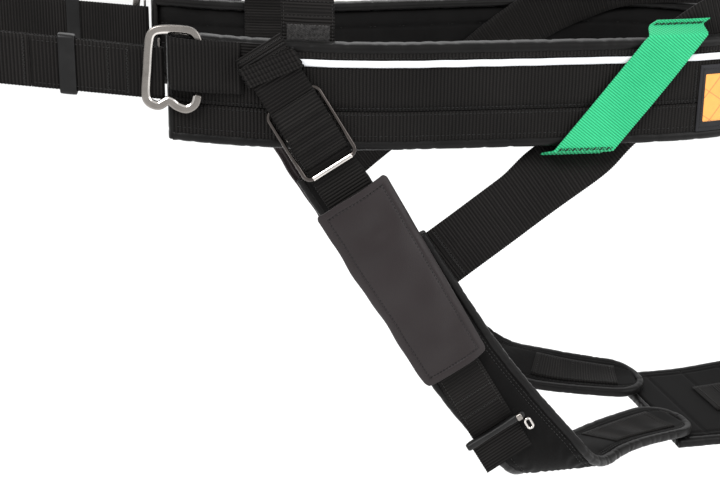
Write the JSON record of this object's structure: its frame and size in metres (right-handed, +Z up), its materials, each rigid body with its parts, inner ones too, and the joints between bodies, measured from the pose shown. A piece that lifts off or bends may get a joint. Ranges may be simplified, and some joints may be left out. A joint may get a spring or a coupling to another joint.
{
  "type": "tree climbing saddle",
  "caption": "Tree climbing saddle: padded hip belt with front hooks and straps, two padded leg loops with slides and covers, a floating riser strap and green keepers.",
  "frame": {"origin": "centre of the waist opening at half the height of the padded belt's side", "axes": "+X to the wearer's back, +Z up, -Y to the wearer's left"},
  "size_m": [0.8625, 0.323, 0.4481],
  "materials": {
    "pad": "padded black nylon, soft, bound edges",
    "web": "black woven nylon webbing, ribbed",
    "binding": "smooth black nylon binding, rolled",
    "stripe": "white reflective piping",
    "green": "emerald green woven webbing, slight sheen",
    "cover": "dark warm grey-brown softshell, soft sheen",
    "steel": "satin steel, polished edges",
    "moulded": "black moulded nylon, satin",
    "label": "dark grey woven patch",
    "panel": "orange woven panel, plain",
    "loop_pile": "fuzzy loop-pile patch"
  },
  "bodies": {
    "harness": {"band_edge_front_left": "binding", "band_edge_front_right": "binding", "band_edge_rear_left": "binding", "band_edge_rear_right": "binding", "belt_binding_lower": "binding", "belt_binding_upper": "binding", "belt_end_loop_left": "web", "belt_end_loop_right": "web", "belt_facing_lower": "web", "belt_facing_upper": "web", "belt_pad": "pad", "buckle_webbing_left": "web", "buckle_webbing_right": "web", "green_keeper_left": "green", "green_keeper_right": "green", "inner_tab_left": "web", "inner_tab_right": "web", "label_frame_left": "label", "label_frame_right": "label", "label_panel_left": "panel", "label_panel_right": "panel", "leg_anchor_left": "web", "leg_anchor_right": "web", "leg_band_left": "pad", "leg_band_right": "pad", "leg_strap_left": "web", "leg_strap_right": "web", "rear_pad": "pad", "rear_pad_edge_left": "binding", "rear_pad_edge_right": "binding", "rear_riser": "web", "reflective_stripe": "stripe", "riser_strap": "web", "strap_keeper_left": "web", "strap_keeper_right": "web", "tab_pile_patch_left": "loop_pile", "tab_pile_patch_right": "loop_pile"},
    "hook_left": {"g_hook_left": "steel", "hook_pin_left": "steel", "front_strap_left": "web"},
    "ring_left": {"tie_in_ring_left": "steel"},
    "front_keeper_body_left": {"front_keeper_left": "moulded"},
    "slide_left": {"leg_slide_left": "steel"},
    "friction_bar_body_left": {"friction_bar_left": "steel"},
    "cover_left": {"leg_cover_left": "cover"},
    "buckle_left": {"leg_buckle_left": "moulded", "buckle_oval_left": "steel"},
    "hook_right": {"g_hook_right": "steel", "hook_pin_right": "steel", "front_strap_right": "web"},
    "ring_right": {"tie_in_ring_right": "steel"},
    "front_keeper_body_right": {"front_keeper_right": "moulded"},
    "slide_right": {"leg_slide_right": "steel"},
    "friction_bar_body_right": {"friction_bar_right": "steel"},
    "cover_right": {"leg_cover_right": "cover"},
    "buckle_right": {"leg_buckle_right": "moulded", "buckle_oval_right": "steel"},
    "rear_slide_body": {"rear_slide": "steel"}
  },
  "joints": [
    {"name": "hook_swing_left", "type": "hinge", "parent": "harness", "child": "hook_left", "pos_m": [-0.21464, -0.12709, 0.03], "axis": [0, 0, 1], "range_deg": [-4, 22]},
    {"name": "ring_swing_left", "type": "hinge", "parent": "hook_left", "child": "ring_left", "pos_m": [-0.41742, -0.10414, 0.04352], "axis": [0, 0, 1], "range_deg": [-60, 60]},
    {"name": "front_keeper_slide_left", "type": "slide", "parent": "hook_left", "child": "front_keeper_body_left", "axis": [-0.9895, 0.0846, 0.1172], "range_m": [-0.035, 0.055]},
    {"name": "leg_slide_travel_left", "type": "slide", "parent": "harness", "child": "slide_left", "axis": [0.5112, -0.0549, -0.8577], "range_m": [-0.006, 0.018]},
    {"name": "friction_bar_travel_left", "type": "slide", "parent": "slide_left", "child": "friction_bar_body_left", "axis": [0.5112, -0.0549, -0.8577], "range_m": [-0.006, 0.006]},
    {"name": "cover_flap_left", "type": "hinge", "parent": "harness", "child": "cover_left", "pos_m": [-0.03576, -0.14911, -0.12777], "axis": [-0.5112, 0.0549, 0.8577], "range_deg": [0, 100]},
    {"name": "buckle_tilt_left", "type": "hinge", "parent": "harness", "child": "buckle_left", "pos_m": [0.01532, -0.15813, -0.27128], "axis": [-0.859, 0, -0.512], "range_deg": [0, 35]},
    {"name": "hook_swing_right", "type": "hinge", "parent": "harness", "child": "hook_right", "pos_m": [-0.21464, 0.12709, 0.03], "axis": [0, 0, 1], "range_deg": [-22, 4]},
    {"name": "ring_swing_right", "type": "hinge", "parent": "hook_right", "child": "ring_right", "pos_m": [-0.41742, 0.10414, 0.04352], "axis": [0, 0, 1], "range_deg": [-60, 60]},
    {"name": "front_keeper_slide_right", "type": "slide", "parent": "hook_right", "child": "front_keeper_body_right", "axis": [-0.9895, -0.0846, 0.1172], "range_m": [-0.035, 0.055]},
    {"name": "leg_slide_travel_right", "type": "slide", "parent": "harness", "child": "slide_right", "axis": [0.5112, 0.0549, -0.8577], "range_m": [-0.006, 0.018]},
    {"name": "friction_bar_travel_right", "type": "slide", "parent": "slide_right", "child": "friction_bar_body_right", "axis": [0.5112, 0.0549, -0.8577], "range_m": [-0.006, 0.006]},
    {"name": "cover_flap_right", "type": "hinge", "parent": "harness", "child": "cover_right", "pos_m": [-0.03576, 0.14911, -0.12777], "axis": [0.5112, 0.0549, -0.8577], "range_deg": [0, 100]},
    {"name": "buckle_tilt_right", "type": "hinge", "parent": "harness", "child": "buckle_right", "pos_m": [0.01532, 0.15813, -0.27128], "axis": [0.859, 0, 0.512], "range_deg": [0, 35]},
    {"name": "rear_slide_travel", "type": "slide", "parent": "harness", "child": "rear_slide_body", "axis": [-0.3706, 0, 0.9288], "range_m": [-0.002, 0.006]}
  ]
}
